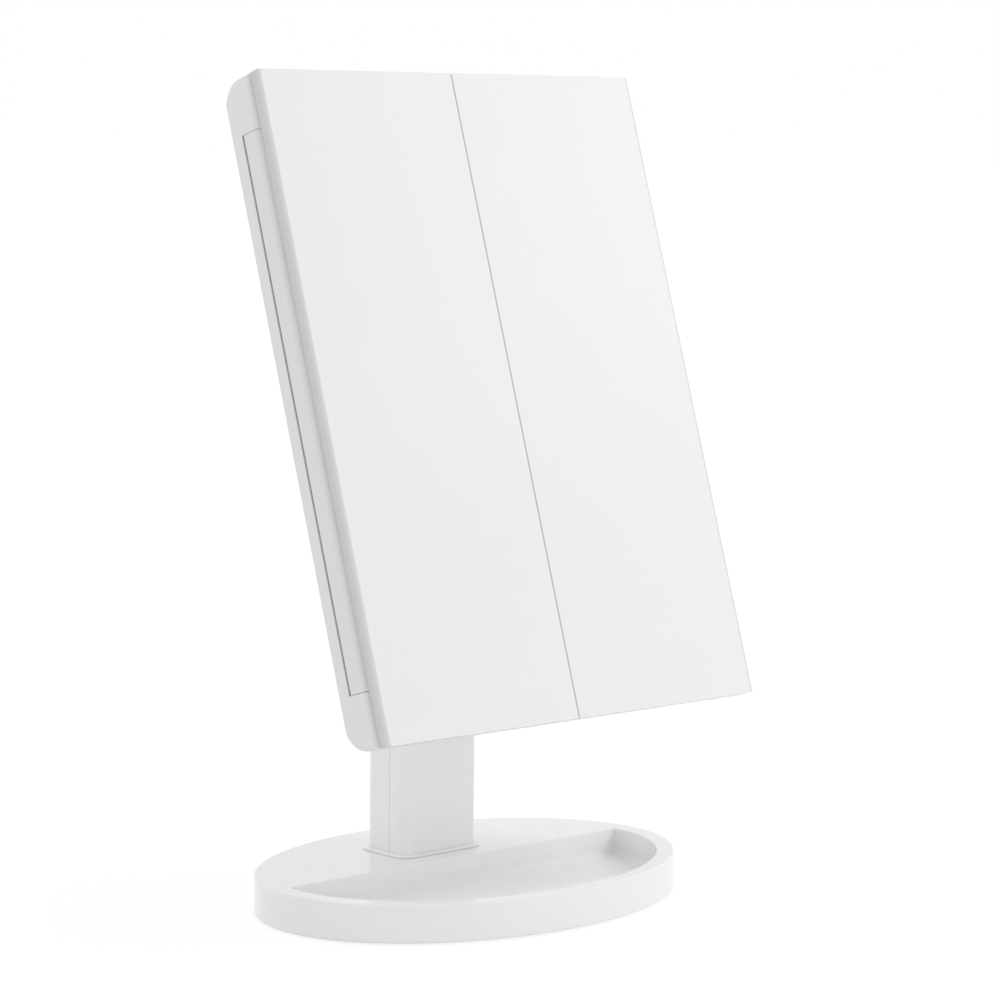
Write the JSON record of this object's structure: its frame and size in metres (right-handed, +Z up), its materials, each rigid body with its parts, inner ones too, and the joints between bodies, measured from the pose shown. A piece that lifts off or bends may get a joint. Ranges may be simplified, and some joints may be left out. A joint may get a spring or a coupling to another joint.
{
  "type": "trifold vanity mirror",
  "caption": "Trifold vanity mirror with folding doors over a lit centre mirror, on a tilting post and an oval tray base.",
  "frame": {"origin": "centre of the oval base, on the table under the feet", "axes": "+Z up, -Y towards the user, +X to the user's right"},
  "size_m": [0.27, 0.188, 0.4571],
  "materials": {
    "white_gloss": "smooth gloss white",
    "white_satin": "satin white moulding",
    "diffuser": "frosted",
    "mirror": "silvered glass",
    "steel": "plain steel",
    "screw": "bright plated",
    "rubber": "matte",
    "foam": "foam tape",
    "board": "solder mask",
    "lamp": "light chips",
    "black": "fine matte",
    "washer": "friction fibre",
    "bush": "acetal",
    "cell": "plain sleeve",
    "wire": "wire sleeve"
  },
  "bodies": {
    "stand": {"base_shell": "white_gloss", "base_cover": "white_satin", "steel_weight": "steel", "rubber_feet": "rubber", "base_screws": "screw", "post_collar": "white_gloss", "post_front_shell": "white_gloss", "post_rear_shell": "white_gloss", "post_core": "steel", "core_bolts": "screw", "core_nuts": "screw", "shell_screws": "screw", "hinge_bushes": "bush"},
    "head": {"rear_case": "white_gloss", "hinge_yoke": "white_gloss", "yoke_screws": "screw", "tilt_axle": "steel", "axle_nut": "steel", "friction_washers": "washer", "axle_caps": "white_gloss", "front_frame": "white_satin", "light_diffuser": "diffuser", "centre_mirror": "mirror", "light_tray": "white_satin", "light_strips": "board", "light_chips": "lamp", "touch_sensor": "board", "control_board": "board", "board_screws": "screw", "usb_socket": "steel", "switch_body": "black", "leads": "wire", "case_screws": "screw", "battery_contacts": "steel", "aa_cells": "cell"},
    "left_door": {"left_door_shell": "white_gloss", "left_door_frame": "white_satin", "mirror_2x": "mirror", "mirror_3x": "mirror", "left_mirror_tapes": "foam", "left_hinge_pins": "steel"},
    "right_door": {"right_door_shell": "white_gloss", "right_door_frame": "white_satin", "right_mirror": "mirror", "right_mirror_tape": "foam", "right_hinge_pins": "steel"},
    "slider": {"power_slider": "black"},
    "bay_cover": {"battery_cover": "white_gloss"}
  },
  "joints": [
    {"name": "head_tilt", "type": "hinge", "parent": "stand", "child": "head", "pos_m": [0, 0.04, 0.3025], "axis": [1, 0, 0], "range_deg": [-50, 20]},
    {"name": "left_door_hinge", "type": "hinge", "parent": "head", "child": "left_door", "pos_m": [-0.1322, -0.02074, 0.28146], "axis": [0, -0.3057, -0.9521], "range_deg": [0, 135]},
    {"name": "right_door_hinge", "type": "hinge", "parent": "head", "child": "right_door", "pos_m": [0.1322, -0.02074, 0.28146], "axis": [0, 0.3057, 0.9521], "range_deg": [0, 135]},
    {"name": "power_slide", "type": "slide", "parent": "head", "child": "slider", "axis": [0, 0.3057, 0.9521], "range_m": [0, 0.004]},
    {"name": "cover_slide", "type": "slide", "parent": "head", "child": "bay_cover", "axis": [0, 0.3057, 0.9521], "range_m": [0, 0.05]}
  ]
}
